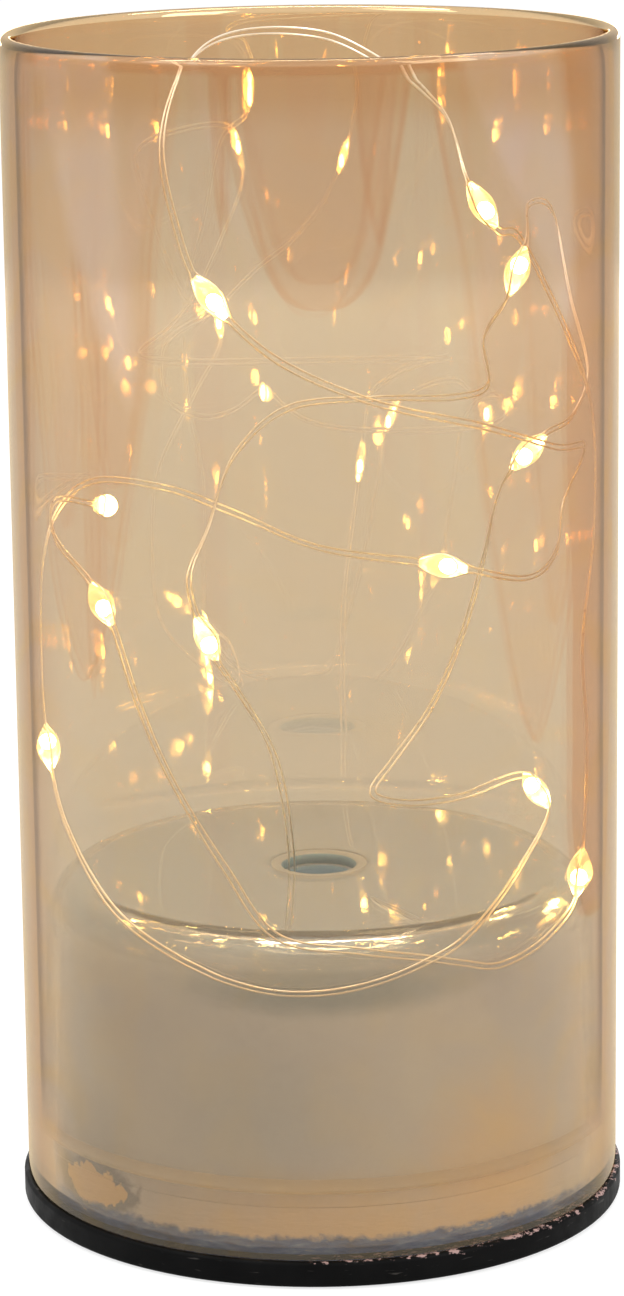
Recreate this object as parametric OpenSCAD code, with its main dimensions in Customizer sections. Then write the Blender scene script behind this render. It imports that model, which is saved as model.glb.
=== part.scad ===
// Glass LED light: an open glass cylinder with a domed false bottom, a black battery base
// under the dome, and a string of eleven wire-light beads that comes up through the dome's hole.
// Millimetres. The origin is the centre of the face that it stands on, and +Z is the glass's axis.

/* [Glass] */
// Outer diameter of the glass
glass_d = 75; // [70:0.5:90]
// Height of the glass above the base's top face
glass_h = 143.4; // [130:0.2:200]
// Thickness of the outer wall
glass_wall = 1.8; // [1.2:0.1:2.4]
// Height of the dome's top above the base's top face
dome_h = 39.1; // [36:0.1:60]
// Thickness of the dome
dome_wall = 1.6; // [1.2:0.1:2]
// Width of the groove between dome and outer wall, where the shoulder starts
groove_w = 1.4; // [1:0.1:2.4]
// Height above the base's top face at which the dome has run into the outer wall
groove_foot = 8; // [6.5:0.1:20]
// Radius of the dome's shoulder
shoulder_r = 5; // [4:0.1:10]
// Diameter of the hole in the dome
hole_d = 8.9; // [6:0.1:14]
// Thickness of the lining under the dome
lining_t = 0.4; // [0.2:0.05:0.8]
// Height of the lining's lower edge above the base's top face
lining_foot = 6.1; // [6:0.1:12]

/* [Base] */
// Diameter of the base
base_d = 76.2; // [72:0.1:95]
// Thickness of the base at its edge
base_h = 3.2; // [3:0.1:5]
// Height of the recess under the base
recess_h = 0.6; // [0.4:0.1:0.8]
// Width of the ring that the base stands on
foot_w = 2.6; // [2:0.1:3.2]
// Radius of the base's rounded edge
edge_r = 0.5; // [0.2:0.05:0.8]
// Height of the collar that holds the glass
collar_h = 6; // [4:0.1:6.2]
// Thickness of the collar
collar_t = 1.2; // [1:0.1:1.5]
// Width of the adhesive between collar and glass
glue_t = 0.7; // [0.4:0.05:0.9]
// Height of the adhesive
glue_h = 5.9; // [3:0.1:5.9]

/* [Battery box] */
// Diameter of a cell
cell_d = 10.5; // [10:0.1:10.6]
// Length of a cell with its nub
cell_l = 44.5; // [43:0.1:44.8]
// Diameter of a cell's nub
nub_d = 3.8; // [3:0.1:4.4]
// Height of a cell's nub
nub_h = 0.8; // [0.6:0.1:1.2]
// Room between neighbouring cells
cell_gap = 0.25; // [0.15:0.05:0.4]
// Room above and below the cells
cell_room = 0.3; // [0.2:0.05:0.5]
// Length of a contact spring
spring_l = 2.3; // [2:0.1:2.5]
// Thickness of the contact sheet
contact_t = 0.4; // [0.3:0.05:0.5]
// Height of the button on a positive contact
button_h = 0.7; // [0.5:0.05:0.9]
// Thickness of the box's walls
box_wall = 1.2; // [1:0.05:1.4]
// Thickness of the box's roof
box_roof = 1.5; // [1.2:0.1:2]
// Radius of a screw ear on the box
ear_r = 2.4; // [2.1:0.05:2.6]
// Thickness of a screw ear
ear_h = 2; // [1.5:0.1:2.5]

/* [Battery door] */
// Thickness of the door
door_t = 1.8; // [1.6:0.05:2]
// Room round the door
door_gap = 0.25; // [0.2:0.05:0.3]
// Room above the door
door_top_gap = 0.2; // [0.15:0.05:0.3]
// Diameter of a hinge pin
pin_d = 1; // [0.8:0.05:1.1]
// Length of a hinge pin
pin_l = 1.2; // [0.8:0.1:1.6]
// Radial clearance of a hinge pin in its socket
pin_gap = 0.06; // [0.03:0.01:0.09]
// Width of the latch tongue
tongue_w = 9; // [6:0.5:12]
// Length of the latch tongue
tongue_l = 7; // [5:0.5:10]
// Width of the slits beside the tongue
slit_w = 0.8; // [0.5:0.1:1.2]

/* [Circuit board and switch] */
// Length of the board
board_l = 22; // [21:0.5:24]
// Width of the board
board_w = 9; // [8.6:0.1:9.4]
// Thickness of the board
board_t = 1; // [0.8:0.1:1.6]
// Length of the switch housing
switch_l = 9; // [8.8:0.1:10]
// Width of the switch housing
switch_w = 4.6; // [4.4:0.1:5]
// Height of the switch housing
switch_h = 4; // [3.8:0.1:4.6]
// Wall of the switch housing
switch_wall = 0.6; // [0.5:0.05:0.65]
// Travel of the slider from ON past OFF to TIMER
switch_travel = 4; // [3:0.1:4.2]
// Length of the slider's knob
knob_l = 2.2; // [1.8:0.1:2.4]
// Width of the slider's knob
knob_w = 2; // [1.6:0.1:2.2]
// Height of the knob's tip above the floor
knob_tip = 0.3; // [0.2:0.05:0.4]

/* [Light string] */
// Diameter of one of the two strands
strand_d = 0.3; // [0.2:0.05:0.4]
// Distance between the two strands
strand_pitch = 0.9; // [0.7:0.05:1]
// Length of a bead
bead_l = 6; // [5:0.1:7]
// Diameter of a bead
bead_d = 2.8; // [2.2:0.1:3]
// Diameter of the flat on each end of a bead
bead_flat_d = 1.5; // [1.3:0.05:1.7]
// Length of the light chip in a bead
chip_l = 1.6; // [1:0.1:1.6]
// Width of the chip
chip_w = 0.8; // [0.5:0.1:1]
// Height of the chip
chip_h = 0.6; // [0.4:0.1:0.8]

/* [Hidden] */
$fn = 96;

// Overrun of a cut past the face that it opens
cut = 0.5;
// Steps in a quarter of a round outline
arc_steps = 8;

// Battery box
cell_r = cell_d / 2;
cell_pitch = cell_d + cell_gap;
cell_z = base_h + cell_room + cell_r;
bay_l = 2 * contact_t + button_h + cell_l + spring_l;
bay_w = 3 * cell_d + 4 * cell_gap;
bay_top = cell_z + cell_r + cell_room;
box_l = bay_l + 2 * box_wall;
box_w = bay_w + 2 * box_wall;
box_top = bay_top + box_roof;
// Corner radius of the box, and the room between box and circuit board
box_corner_r = 1.5;
board_gap = 1.45;
board_y = box_w / 2 + board_gap + board_w / 2;

// Glass
glass_r = glass_d / 2;
bore_r = glass_r - glass_wall;
glass_top = base_h + glass_h;
rim_r = glass_wall / 2;
dome_top = base_h + dome_h;
dome_r = bore_r - groove_w;
shoulder_z = dome_top - shoulder_r;
flat_r = dome_r - shoulder_r;
foot_in_r = bore_r - dome_wall;
groove_z = base_h + groove_foot;
hole_r = hole_d / 2;
lip_r = dome_wall / 2;
lining_z = base_h + lining_foot;
// Room between the lining's edge and the rounded lip of the hole
lining_hole_gap = 0.2;

// Base: foot disc, seat under the glass's foot, and collar inside it
base_r = base_d / 2;
floor_z = base_h;
seat_r = glass_r;
seat_t = 1.2;
collar_out_r = foot_in_r - glue_t;
collar_in_r = collar_out_r - collar_t;

// Screw ears: distance from the box's end walls, and their bite into its side walls
ear_inset = 7.35;
ear_bite = 0.5;
ear_x = box_l / 2 - ear_inset;
ear_y = box_w / 2 + ear_r - ear_bite;
// Screws: shank, hole round it, thread depth in the base, and head
screw_r = 0.9;
screw_hole_r = 1;
screw_core_r = 0.95;
screw_bite = 1.9;
screw_head_r = 1.8;
screw_head_h = 1.2;
// Cross recess in a screw's head
recess_l = 2.2;
recess_w = 0.5;
recess_depth = 0.6;

// Contacts: sheet, button, spring and solder tab
contact_side_inset = 1.05;
contact_end_inset = 1.25;
contact_w = cell_d - 2 * contact_side_inset;
contact_h = cell_d - 2 * contact_end_inset;
button_r = 1.7;
spring_wire_d = 0.6;
spring_turns = 3;
spring_steps = 9;
spring_inset = 0.8;
spring_base_r = contact_w / 2 - spring_inset;
spring_tip_gain = 0.3;
spring_tip_r = nub_d / 2 + spring_tip_gain;
// Room between a spring's tip and its cell
spring_tip_gap = 0.15;
tab_w = 2;
tab_rise = 1.5;
tab_gap = 0.15;

// Door
door_l = box_l;
door_w = box_w;
door_z = recess_h;
door_mid_z = door_z + door_t / 2;
lip_z = door_z + door_t + door_top_gap;
hinge_x = -door_l / 2 + door_t / 2;
pin_r = pin_d / 2;
latch_rib_r = 0.2;
notch_r = 6;
notch_depth = 0.9;
notch_bite = 1.6;

// Board, posts and switch
board_z = floor_z + switch_h;
post_r = 1.3;
peg_r = 0.6;
peg_gap = 0.1;
peg_rise = 0.4;
post_end_inset = 1.8;
post_edge_inset = 1.9;
post_x = board_l / 2 - post_end_inset;
post_y = board_y + board_w / 2 - post_edge_inset;
// Offsets from the board's middle
switch_shift = 1.3;
switch_y = board_y + switch_shift;
leg_r = 0.3;
leg_gap = 0.08;
leg_rise = 0.4;
leg_pitch = 2.5;
leg_shift = 1.6;
leg_y = switch_y + leg_shift;
slider_gap = 0.2;
carriage_l = 3.2;
carriage_h = 1.6;
stem_l = 1.6;
stem_w = 1.4;
slot_gap = 0.3;
knob_top_z = 2.6;

// Parts on the board
chip_body = 3;
chip_body_h = 0.9;
chip_lift = 0.1;
chip_leg_w = 0.3;
chip_leg_t = 0.15;
chip_leg_pitch = 0.65;
chip_leg_span = 4.9;
chip_x = -1;
chip_shift = 1.8;
chip_y = board_y - chip_shift;
crystal_r = 1;
crystal_l = 4;
crystal_x = 3;
crystal_shift = 2.8;
crystal_y = board_y - crystal_shift;
smd_l = 2;
smd_w = 1.25;
smd_h = 0.5;
smd_cap = 0.4;
resistor_x = 5.5;
resistor_shift = 0.4;
resistor_y = board_y - resistor_shift;
resistor_pitch = 2;
capacitor_x = -4.4;
capacitor_shift = 2.4;
capacitor_y = board_y + capacitor_shift;
// Blob of hot glue that holds the string's end
relief_inset = 3.5;
relief_x = relief_inset - board_l / 2;
relief_shift = 1.9;
relief_y = board_y - relief_shift;
relief_r = 1.8;
relief_tip_r = 1.1;
relief_h = 2.6;

// Leads from the contacts to the board
lead_d = 1.1;
lead_sides = 8;

// String. Each stretch runs through its own points, from the bead before it to the bead after it.
bead_centres = [[-13, -20, 76], [23.5, -24, 120.5], [25.5, -13, 97], [27, -6, 53],
    [-33, -7, 59.5], [15, -24, 85.5], [-11.5, -32, 119], [19.5, -26, 128.5],
    [31.6, -11.8, 44], [-25, -22.5, 81], [-27, 15, 85.5]];
stretch_points = [
    [[-3.5, 12, 26], [-3.5, 1.5, 37], [-3.5, -1, 44.5], [-5.5, -9, 59], [-9.5, -16, 68.5]],
    [[-15, -20, 83], [-13, -11, 87.5], [-9.5, 7, 94], [-2.5, 18, 97.5], [8, 20, 98],
        [18, 9, 100], [21.5, 0, 103], [20.5, -9, 110]],
    [[26.5, -2, 125.5], [31, 14, 122], [32.5, 8, 113], [34, 0, 104.5], [31.5, -5, 100]],
    [[22.5, 0, 88.5], [21.5, 12, 78.5], [19, 15, 68.5], [15, 15, 59], [10, 11, 53],
        [7, 8, 49.5], [10, 2, 49.5], [17.5, -5, 52]],
    [[24, -16, 45.5], [16.5, -30.5, 41], [12.8, -32.8, 39.4], [7, -34.4, 37.4],
        [1, -35.05, 36.3], [-5, -34.7, 36.2], [-10.5, -33.45, 37.2], [-14.9, -32, 38.8],
        [-24, -23.5, 43], [-30, -15, 51]],
    [[-34.5, -1, 70.5], [-34.5, 3, 81], [-33, 10, 86], [-28.5, 19, 88], [-20, 22, 86.5],
        [-10.5, 10, 85.5], [0.5, -8, 84.5]],
    [[24.5, -20, 83], [29.5, -6, 83.5], [31.5, 5, 87.5], [34, 4, 93.5], [28, -17.5, 98.5],
        [19, -28, 103], [6.5, -34, 107], [-4, -34.5, 112]],
    [[-15, -29, 125.5], [-17, -25, 135], [-15, -15, 143], [-8.5, 3, 146], [2, 10, 145],
        [10, 3, 141.5], [16, -15, 137.5]],
    [[24.5, -15, 123], [30, -12, 111.5], [34, -5, 99.5], [34, -6, 86.5], [32, -11, 73],
        [32.5, -11, 60]],
    [[28.6, -20, 40], [25.2, -24.5, 38.2], [20.7, -28.4, 37.3], [16.8, -30.4, 38.3],
        [12.7, -31.9, 39.4], [4.7, -33.9, 41], [-5, -32.5, 42.5],
        [-11, -30.5, 50.5], [-17.5, -28, 61.5], [-21, -26, 70]],
    [[-31, -11, 86.5], [-32.5, 4, 88.5]]];
bead_count = len(bead_centres);
relief_exit = [relief_x, relief_y, board_z + board_t + relief_h];

// Section across the two strands: eight points, drawn in at the web that joins them
strand_r = strand_d / 2;
web_r = strand_r / 3;
web_x = strand_pitch / 2 - strand_r;
string_section = [[strand_pitch / 2 + strand_r, strand_r], [web_x, web_r], [-web_x, web_r],
    [-strand_pitch / 2 - strand_r, strand_r], [-strand_pitch / 2 - strand_r, -strand_r],
    [-web_x, -web_r], [web_x, -web_r], [strand_pitch / 2 + strand_r, -strand_r]];

function unit(v) = v / norm(v);
function round_section(d, sides) =
    [for (i = [0:sides - 1]) [cos(i * 360 / sides), sin(i * 360 / sides)] * d / 2];
function arc(centre, r, from, to, steps = arc_steps) =
    [for (i = [0:steps]) centre + r * [cos(from + (to - from) * i / steps),
        sin(from + (to - from) * i / steps)]];

// Direction of a bead: from the point before it to the point after it
function bead_axis(k) = k + 1 < bead_count
    ? unit(stretch_points[k + 1][0] - stretch_points[k][len(stretch_points[k]) - 1])
    : unit(bead_centres[k] - stretch_points[k][len(stretch_points[k]) - 1]);
function bead_end(k, way) = bead_centres[k] + way * bead_l / 2 * bead_axis(k);
function stretch_path(k) = concat(
    k == 0 ? [relief_exit] : [bead_end(k - 1, 1)],
    stretch_points[k],
    [bead_end(k, -1)]);

// Direction of a path at each of its points, given the directions at both ends
function path_tangents(path, first, last) = [for (i = [0:len(path) - 1])
    i == 0 ? first : i == len(path) - 1 ? last : unit(path[i + 1] - path[i - 1])];

// Sideways direction at each ring, turned as little as possible from ring to ring
function square_to(v, t) = unit(v - (v * t) * t);
function path_sides(tangents, side) = [for (i = 0, s = square_to(side, tangents[0]);
    i < len(tangents);
    i = i + 1, s = i < len(tangents) ? square_to(s, tangents[i]) : s) s];

module sweep(path, tangents, side, section) {
    sides = path_sides(tangents, side);
    n = len(section);
    rings = len(path);
    points = [for (i = [0:rings - 1], p = section)
        path[i] + p[0] * sides[i] + p[1] * cross(tangents[i], sides[i])];
    // The two halves of a section split their walls opposite ways, so that a turn doesn't thin it
    walls = [for (i = [0:rings - 2], j = [0:n - 1], half = [0:1])
        let (a = i * n + j, b = i * n + (j + 1) % n, c = a + n, d = b + n)
        j < n / 2 ? (half == 0 ? [a, c, d] : [a, d, b])
            : (half == 0 ? [a, c, b] : [c, d, b])];
    // Caps in strips from one half to the other, each convex also where the section is drawn in
    cap = [for (j = [0:n / 2 - 2]) [j, j + 1, n - 2 - j, n - 1 - j]];
    last = (rings - 1) * n;
    last_cap = [for (strip = cap) [for (k = [3:-1:0]) last + strip[k]]];
    polyhedron(points = points, faces = concat(walls, cap, last_cap), convexity = 10);
}

// Turns the Z axis into the given direction
module point_along(direction) {
    tilt = acos(direction[2]);
    turn = atan2(direction[1], direction[0]);
    rotate([0, tilt, turn]) children();
}

module rounded_rect(l, w, r) {
    hull()
        for (x = [-1, 1], y = [-1, 1])
            translate([x * (l / 2 - r), y * (w / 2 - r)]) circle(r = r, $fn = 32);
}

// Glass cylinder and its dome, blown in one piece
module glass_body() {
    outline = concat(
        [[foot_in_r, base_h], [glass_r, base_h]],
        arc([glass_r - rim_r, glass_top - rim_r], rim_r, 0, 180),
        [[bore_r, groove_z]],
        arc([flat_r, shoulder_z], shoulder_r, 0, 90),
        arc([hole_r + lip_r, dome_top - lip_r], lip_r, 90, 270),
        arc([flat_r, shoulder_z], shoulder_r - dome_wall, 90, 0),
        [[foot_in_r, groove_z]]);
    color("burlywood", 0.45) rotate_extrude() polygon(outline);
}

// Pearl lining against the dome's underside
module dome_lining() {
    inner_r = dome_r - dome_wall;
    hole = hole_r + lip_r + lining_hole_gap;
    under = dome_top - dome_wall;
    outline = concat(
        [[foot_in_r - lining_t, lining_z], [foot_in_r, lining_z], [foot_in_r, groove_z]],
        arc([flat_r, shoulder_z], shoulder_r - dome_wall, 0, 90),
        [[hole, under], [hole, under - lining_t]],
        arc([flat_r, shoulder_z], shoulder_r - dome_wall - lining_t, 90, 0),
        [[foot_in_r - lining_t, groove_z]]);
    color("wheat") rotate_extrude() polygon(outline);
}

module adhesive_ring() {
    color("gainsboro") translate([0, 0, floor_z]) difference() {
        cylinder(r = foot_in_r, h = glue_h);
        translate([0, 0, -cut]) cylinder(r = collar_out_r, h = glue_h + 2 * cut);
    }
}

// Black base: foot disc, seat and collar for the glass, door opening, switch slot, board posts
module base_plate() {
    disc = concat(
        [[0, recess_h], [base_r - edge_r - foot_w, recess_h], [base_r - edge_r - foot_w, 0]],
        arc([base_r - edge_r, edge_r], edge_r, -90, 0),
        arc([base_r - edge_r, floor_z - edge_r], edge_r, 0, 90),
        [[0, floor_z]]);
    seat = [[0, floor_z - seat_t], [seat_r, floor_z - seat_t], [seat_r, floor_z],
        [collar_out_r, floor_z], [collar_out_r, floor_z + collar_h],
        [collar_in_r, floor_z + collar_h], [collar_in_r, floor_z], [0, floor_z]];
    knob_reach = switch_travel + knob_l + 2 * slot_gap;
    color("#161719") union() {
        difference() {
            rotate_extrude() union() {
                polygon(disc);
                polygon(seat);
            }
            door_opening();
            translate([0, switch_y, floor_z / 2])
                cube([knob_reach, knob_w + 2 * slot_gap, floor_z + 2 * cut], center = true);
            ear_places() translate([0, 0, floor_z - screw_bite])
                cylinder(r = screw_core_r, h = screw_bite + cut, $fn = 32);
        }
        for (side = [-1, 1]) translate([side * post_x, post_y, floor_z]) {
            cylinder(r = post_r, h = switch_h, $fn = 32);
            cylinder(r = peg_r, h = switch_h + board_t + peg_rise, $fn = 32);
        }
    }
}

module door_opening() {
    open_l = door_l + 2 * door_gap;
    open_w = door_w + 2 * door_gap;
    translate([-open_l / 2, -open_w / 2, -cut]) cube([open_l, open_w, lip_z + cut]);
    translate([-bay_l / 2, -bay_w / 2, -cut]) cube([bay_l, bay_w, floor_z + 2 * cut]);
    for (side = [-1, 1]) translate([hinge_x, side * (open_w / 2 - cut), door_mid_z])
        rotate([-side * 90, 0, 0])
            cylinder(r = pin_r + pin_gap, h = pin_l + cut, $fn = 32);
    translate([open_l / 2, 0, recess_h]) finger_scoop();
}

// Hollow for a fingertip beside the door's tongue
module finger_scoop() {
    translate([0, 0, -notch_r + notch_depth]) intersection() {
        sphere(r = notch_r, $fn = 48);
        translate([-cut, -notch_r, 0]) cube([notch_bite + cut, 2 * notch_r, notch_r]);
    }
}

module ear_places() {
    for (x = [-1, 1], y = [-1, 1]) translate([x * ear_x, y * ear_y, 0]) children();
}

module battery_box() {
    color("#1c1d20") difference() {
        union() {
            translate([0, 0, floor_z]) linear_extrude(box_top - floor_z)
                rounded_rect(box_l, box_w, box_corner_r);
            ear_places() translate([0, 0, floor_z]) cylinder(r = ear_r, h = ear_h, $fn = 40);
            for (x = [-1, 1]) translate([x * ear_x - ear_r, -ear_y, floor_z])
                cube([2 * ear_r, 2 * ear_y, ear_h]);
        }
        translate([-bay_l / 2, -bay_w / 2, floor_z - cut])
            cube([bay_l, bay_w, bay_top - floor_z + cut]);
        ear_places() translate([0, 0, floor_z - cut])
            cylinder(r = screw_hole_r, h = ear_h + 2 * cut, $fn = 32);
        tab_slot(1, cell_pitch);
        tab_slot(-1, -cell_pitch);
    }
}

// Slot in the roof through which a contact's solder tab comes up
module tab_slot(end, y) {
    slot_t = contact_t + tab_gap;
    translate([end * (bay_l / 2 - slot_t / 2), y, (bay_top + box_top) / 2])
        cube([slot_t, tab_w + 2 * tab_gap, box_roof + 2 * cut], center = true);
}

module box_screws() {
    head_z = floor_z + ear_h;
    color("silver") ear_places() difference() {
        union() {
            translate([0, 0, floor_z - screw_bite])
                cylinder(r = screw_r, h = screw_bite + ear_h + screw_head_h / 2, $fn = 32);
            translate([0, 0, head_z]) cylinder(r = screw_head_r, h = screw_head_h, $fn = 32);
        }
        for (turn = [0, 90]) translate([0, 0, head_z + screw_head_h - recess_depth / 2 + cut / 2])
            rotate([0, 0, turn]) cube([recess_l, recess_w, recess_depth + cut], center = true);
    }
}

// Door with a round hinge edge, two pins and a sprung latch tongue
module battery_door() {
    plate_l = door_l - door_t / 2;
    tongue_x = door_l / 2 - tongue_l;
    color("#17181a") difference() {
        union() {
            translate([hinge_x, -door_w / 2, door_z]) cube([plate_l, door_w, door_t]);
            translate([hinge_x, door_w / 2, door_mid_z]) rotate([90, 0, 0])
                cylinder(d = door_t, h = door_w, $fn = 48);
            translate([hinge_x, door_w / 2 + pin_l, door_mid_z]) rotate([90, 0, 0])
                cylinder(r = pin_r, h = door_w + 2 * pin_l, $fn = 32);
            translate([door_l / 2, tongue_w / 2, door_mid_z]) rotate([90, 0, 0])
                cylinder(r = latch_rib_r, h = tongue_w, $fn = 24);
        }
        for (side = [-1, 1]) translate([tongue_x, side * (tongue_w + slit_w) / 2, door_mid_z])
            translate([tongue_l / 2, 0, 0])
                cube([tongue_l + 2 * cut, slit_w, door_t + 2 * cut], center = true);
    }
}

// One cell, lying along X with its nub towards the given end
module cell(y, end) {
    base_x = -end * (bay_l / 2 - contact_t - spring_l);
    color("darkseagreen") translate([base_x, y, cell_z]) rotate([0, end * 90, 0]) {
        cylinder(r = cell_r, h = cell_l - nub_h);
        cylinder(d = nub_d, h = cell_l, $fn = 48);
    }
}

module battery_cell_1() { cell(-cell_pitch, 1); }
module battery_cell_2() { cell(0, -1); }
module battery_cell_3() { cell(cell_pitch, 1); }

// Sheet against the end wall, from one cell's middle to another's
module contact_sheet(end, y_from, y_to) {
    low = min(y_from, y_to) - contact_w / 2;
    high = max(y_from, y_to) + contact_w / 2;
    translate([end > 0 ? bay_l / 2 - contact_t : -bay_l / 2, low, cell_z - contact_h / 2])
        cube([contact_t, high - low, contact_h]);
}

module contact_button(end, y) {
    translate([end * (bay_l / 2 - contact_t), y, cell_z]) rotate([0, -end * 90, 0])
        cylinder(r = button_r, h = button_h, $fn = 32);
}

// Conical spring: one wound tube that narrows towards the cell
module contact_spring(end, y) {
    last = spring_turns * spring_steps;
    rise = spring_l - spring_tip_gap - spring_wire_d / 2;
    path = [for (i = [0:last])
        let (share = i / last, r = spring_base_r + (spring_tip_r - spring_base_r) * share)
            [r * cos(i * 360 / spring_steps), r * sin(i * 360 / spring_steps), rise * share]];
    first = unit(path[1] - path[0]);
    final = unit(path[last] - path[last - 1]);
    translate([end * (bay_l / 2 - contact_t), y, cell_z]) rotate([0, -end * 90, 0])
        sweep(path, path_tangents(path, first, final), [1, 0, 0],
            round_section(spring_wire_d, 6));
}

module solder_tab(end, y) {
    top = box_top + tab_rise;
    translate([end > 0 ? bay_l / 2 - contact_t : -bay_l / 2, y - tab_w / 2, cell_z])
        cube([contact_t, tab_w, top - cell_z]);
}

module contact_positive_out() {
    color("silver") union() {
        contact_sheet(1, cell_pitch, cell_pitch);
        contact_button(1, cell_pitch);
        solder_tab(1, cell_pitch);
    }
}

module contact_negative_out() {
    color("silver") union() {
        contact_sheet(-1, -cell_pitch, -cell_pitch);
        contact_spring(-1, -cell_pitch);
        solder_tab(-1, -cell_pitch);
    }
}

module bridge_contact_a() {
    color("silver") union() {
        contact_sheet(-1, 0, cell_pitch);
        contact_button(-1, 0);
        contact_spring(-1, cell_pitch);
    }
}

module bridge_contact_b() {
    color("silver") union() {
        contact_sheet(1, -cell_pitch, 0);
        contact_button(1, -cell_pitch);
        contact_spring(1, 0);
    }
}

module circuit_board() {
    color("darkgreen") difference() {
        translate([-board_l / 2, board_y - board_w / 2, board_z])
            cube([board_l, board_w, board_t]);
        for (side = [-1, 1]) translate([side * post_x, post_y, board_z - cut])
            cylinder(r = peg_r + peg_gap, h = board_t + 2 * cut, $fn = 32);
        leg_places() translate([0, 0, board_z - cut])
            cylinder(r = leg_r + leg_gap, h = board_t + 2 * cut, $fn = 24);
    }
}

module leg_places() {
    for (i = [-1:1]) translate([i * leg_pitch, leg_y, 0]) children();
}

module timer_chip() {
    board_top = board_z + board_t;
    color("#101113") translate([chip_x, chip_y, board_top]) union() {
        translate([0, 0, chip_lift + chip_body_h / 2])
            cube([chip_body, chip_body, chip_body_h], center = true);
        for (i = [-1.5:1.5], side = [-1, 1]) translate([i * chip_leg_pitch, 0, 0]) {
            foot = (chip_leg_span - chip_body) / 2;
            translate([-chip_leg_w / 2, side > 0 ? chip_body / 2 : -chip_body / 2 - foot, 0])
                cube([chip_leg_w, foot, chip_leg_t]);
            translate([-chip_leg_w / 2, side > 0 ? chip_body / 2 - chip_leg_t
                : -chip_body / 2 - chip_leg_t, 0])
                cube([chip_leg_w, 2 * chip_leg_t, chip_lift + chip_body_h / 2]);
        }
    }
}

module crystal() {
    color("silver") translate([crystal_x, crystal_y, board_z + board_t + crystal_r])
        rotate([0, 90, 0]) cylinder(r = crystal_r, h = crystal_l, $fn = 32);
}

// Small block part with a metal cap at each end
module smd(x, y) {
    translate([x - smd_l / 2, y - smd_w / 2, board_z + board_t]) union() {
        translate([smd_cap, 0, 0]) cube([smd_l - 2 * smd_cap, smd_w, smd_h]);
        for (start = [0, smd_l - smd_cap]) translate([start, 0, 0])
            cube([smd_cap, smd_w, smd_h + chip_lift]);
    }
}

module resistors() {
    color("#26262a") {
        smd(resistor_x, resistor_y);
        smd(resistor_x, resistor_y + resistor_pitch);
    }
}

module capacitor() {
    color("peru") smd(capacitor_x, capacitor_y);
}

module switch_housing() {
    room_l = switch_l - 2 * switch_wall;
    room_w = switch_w - 2 * switch_wall;
    room_h = switch_h - 2 * switch_wall;
    mouth_l = switch_travel + stem_l + 2 * slider_gap;
    color("silver") difference() {
        union() {
            translate([-switch_l / 2, switch_y - switch_w / 2, floor_z])
                cube([switch_l, switch_w, switch_h]);
            leg_places() translate([0, 0, board_z - switch_wall / 2])
                cylinder(r = leg_r, h = switch_wall / 2 + board_t + leg_rise, $fn = 24);
        }
        translate([-room_l / 2, switch_y - room_w / 2, floor_z + switch_wall])
            cube([room_l, room_w, room_h]);
        translate([-mouth_l / 2, switch_y - stem_w / 2 - slider_gap, floor_z - cut])
            cube([mouth_l, stem_w + 2 * slider_gap, switch_wall + 2 * cut]);
    }
}

// Slider at ON: carriage in the housing, stem, and knob in the base's slot
module switch_slider() {
    carriage_w = switch_w - 2 * switch_wall - 2 * slider_gap;
    carriage_z = floor_z + switch_wall + slider_gap;
    color("whitesmoke") translate([-switch_travel / 2, switch_y, 0]) union() {
        translate([-carriage_l / 2, -carriage_w / 2, carriage_z])
            cube([carriage_l, carriage_w, carriage_h]);
        translate([-stem_l / 2, -stem_w / 2, knob_tip])
            cube([stem_l, stem_w, carriage_z + carriage_h / 2 - knob_tip]);
        translate([-knob_l / 2, -knob_w / 2, knob_tip])
            cube([knob_l, knob_w, knob_top_z - knob_tip]);
    }
}

// Insulated lead from a solder tab's top, over the box's edge, down to the board
module lead(path) {
    sweep(path, path_tangents(path, [0, 0, 1], [0, 0, -1]), [1, 0, 0],
        round_section(lead_d, lead_sides));
}

module battery_lead_positive() {
    tab_top = [bay_l / 2 - contact_t / 2, cell_pitch, box_top + tab_rise];
    pad = [board_l / 2 - lead_d, chip_y - chip_lift, board_z + board_t];
    color("firebrick") lead([tab_top, tab_top + [0, 0, lead_d],
        tab_top + [-cell_r / 2, cell_r / 2, 2 * lead_d], [tab_top[0] - cell_r, ear_y, box_top],
        [pad[0] + 2 * lead_d, pad[1], (box_top + pad[2]) / 2 + lead_d],
        pad + [0, 0, 2 * lead_d], pad]);
}

module battery_lead_negative() {
    tab_top = [-bay_l / 2 + contact_t / 2, -cell_pitch, box_top + tab_rise];
    pad = [-board_l / 2 + lead_d, chip_y - chip_lift, board_z + board_t];
    color("#202124") lead([tab_top, tab_top + [0, 0, lead_d],
        tab_top + [lead_d, cell_r, 2 * lead_d], tab_top + [cell_r / 2, 3 * cell_r, 2 * lead_d],
        [pad[0] - 3 * lead_d, ear_y - ear_r, box_top + 2 * lead_d],
        [pad[0] - lead_d, pad[1] - lead_d, (box_top + pad[2]) / 2 + lead_d],
        pad + [0, 0, 2 * lead_d], pad]);
}

module strain_relief() {
    color("ivory") translate([relief_x, relief_y, board_z + board_t])
        cylinder(r1 = relief_r, r2 = relief_tip_r, h = relief_h, $fn = 48);
}

// Twin wire between two beads, lying flat to the wall where it leaves a bead
module wire_stretch(k) {
    path = stretch_path(k);
    first = k == 0 ? [0, 0, 1] : bead_axis(k - 1);
    last = bead_axis(k);
    out = unit([path[1][0], path[1][1], 0]);
    color("goldenrod") sweep(path, path_tangents(path, first, last), cross(out, first),
        string_section);
}

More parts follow.
